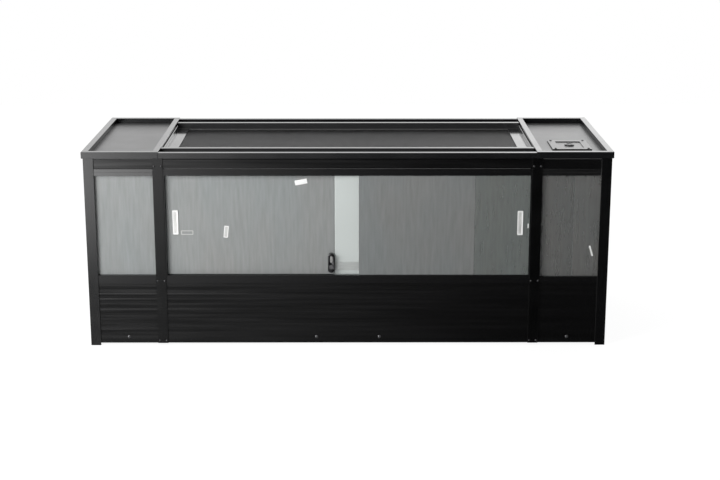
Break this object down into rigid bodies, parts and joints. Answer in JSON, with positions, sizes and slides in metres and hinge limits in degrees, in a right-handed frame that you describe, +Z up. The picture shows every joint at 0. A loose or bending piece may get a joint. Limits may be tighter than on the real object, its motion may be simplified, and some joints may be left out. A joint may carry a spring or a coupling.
{
  "type": "reptile cage",
  "caption": "Long low reptile cage with a black body, sliding glass front doors between fixed windows, a lift-out screen top, solid top end panels and a cable plate.",
  "frame": {"origin": "on the ground, in the middle of the rim's outline", "axes": "+Z up, the sliding glass doors face -Y, +X to the right seen from the front"},
  "size_m": [1.22, 0.457, 0.465],
  "materials": {
    "frame_profile": "black satin coating",
    "board": "black satin sheet",
    "track": "black satin extrusion",
    "glass": "clear float glass with a protective film",
    "overlap_film": "pale translucent strip",
    "finger_pull": "white, smooth",
    "lock_bar": "bright rolled strip",
    "lock_body": "black coated casting",
    "lock_barrel": "polished",
    "screw": "blackened",
    "screen_frame": "black satin coating",
    "screen_wire": "black coated wire",
    "cable_port": "black moulded"
  },
  "bodies": {
    "cage": {"post_front_left": "frame_profile", "post_front_right": "frame_profile", "post_rear_left": "frame_profile", "post_rear_right": "frame_profile", "mullion_left": "frame_profile", "mullion_right": "frame_profile", "rim_front_left": "frame_profile", "rim_front_center": "frame_profile", "rim_front_right": "frame_profile", "rim_rear_left": "frame_profile", "rim_rear_center": "frame_profile", "rim_rear_right": "frame_profile", "rim_side_left": "frame_profile", "rim_side_right": "frame_profile", "cross_bar_left": "frame_profile", "cross_bar_right": "frame_profile", "side_panel_left": "board", "side_panel_right": "board", "back_panel": "board", "header_panel": "board", "lower_front_panel": "board", "floor_left": "board", "floor_right": "board", "top_panel_left": "board", "top_panel_right": "board", "top_strip_front": "board", "top_strip_rear": "board", "upper_track": "track", "lower_track": "track", "sill_left": "track", "sill_right": "track", "head_left": "track", "head_right": "track", "jamb_left": "track", "jamb_right": "track", "window_left": "glass", "window_right": "glass", "cable_plate": "cable_port", "base_screw_1": "screw", "base_screw_2": "screw", "base_screw_3": "screw", "base_screw_4": "screw", "cable_plate_screw_1": "screw", "cable_plate_screw_2": "screw", "cable_plate_screw_3": "screw", "cable_plate_screw_4": "screw"},
    "left_door": {"door_glass_left": "glass", "overlap_film": "overlap_film", "finger_pull_left": "finger_pull", "lock_bar": "lock_bar"},
    "right_door": {"door_glass_right": "glass", "finger_pull_right": "finger_pull", "lock_body": "lock_body"},
    "lock_turn": {"lock_barrel": "lock_barrel"},
    "screen_lid": {"screen_frame_front": "screen_frame", "screen_frame_rear": "screen_frame", "screen_frame_left": "screen_frame", "screen_frame_right": "screen_frame", "screen_mesh": "screen_wire"},
    "plug": {"cable_plug": "cable_port"}
  },
  "joints": [
    {"name": "left_door_slide", "type": "slide", "parent": "cage", "child": "left_door", "axis": [1, 0, 0], "range_m": [0, 0.394]},
    {"name": "right_door_slide", "type": "slide", "parent": "cage", "child": "right_door", "axis": [-1, 0, 0], "range_m": [0, 0.374]},
    {"name": "lock_barrel_turn", "type": "hinge", "parent": "right_door", "child": "lock_turn", "pos_m": [-0.0387, -0.225, 0.191], "axis": [0, 1, 0], "range_deg": [0, 90]},
    {"name": "screen_lift", "type": "slide", "parent": "cage", "child": "screen_lid", "axis": [0, 0, 1], "range_m": [0, 0.15]},
    {"name": "cable_plug_lift", "type": "slide", "parent": "cage", "child": "plug", "axis": [0, 0, 1], "range_m": [0, 0.05]}
  ]
}
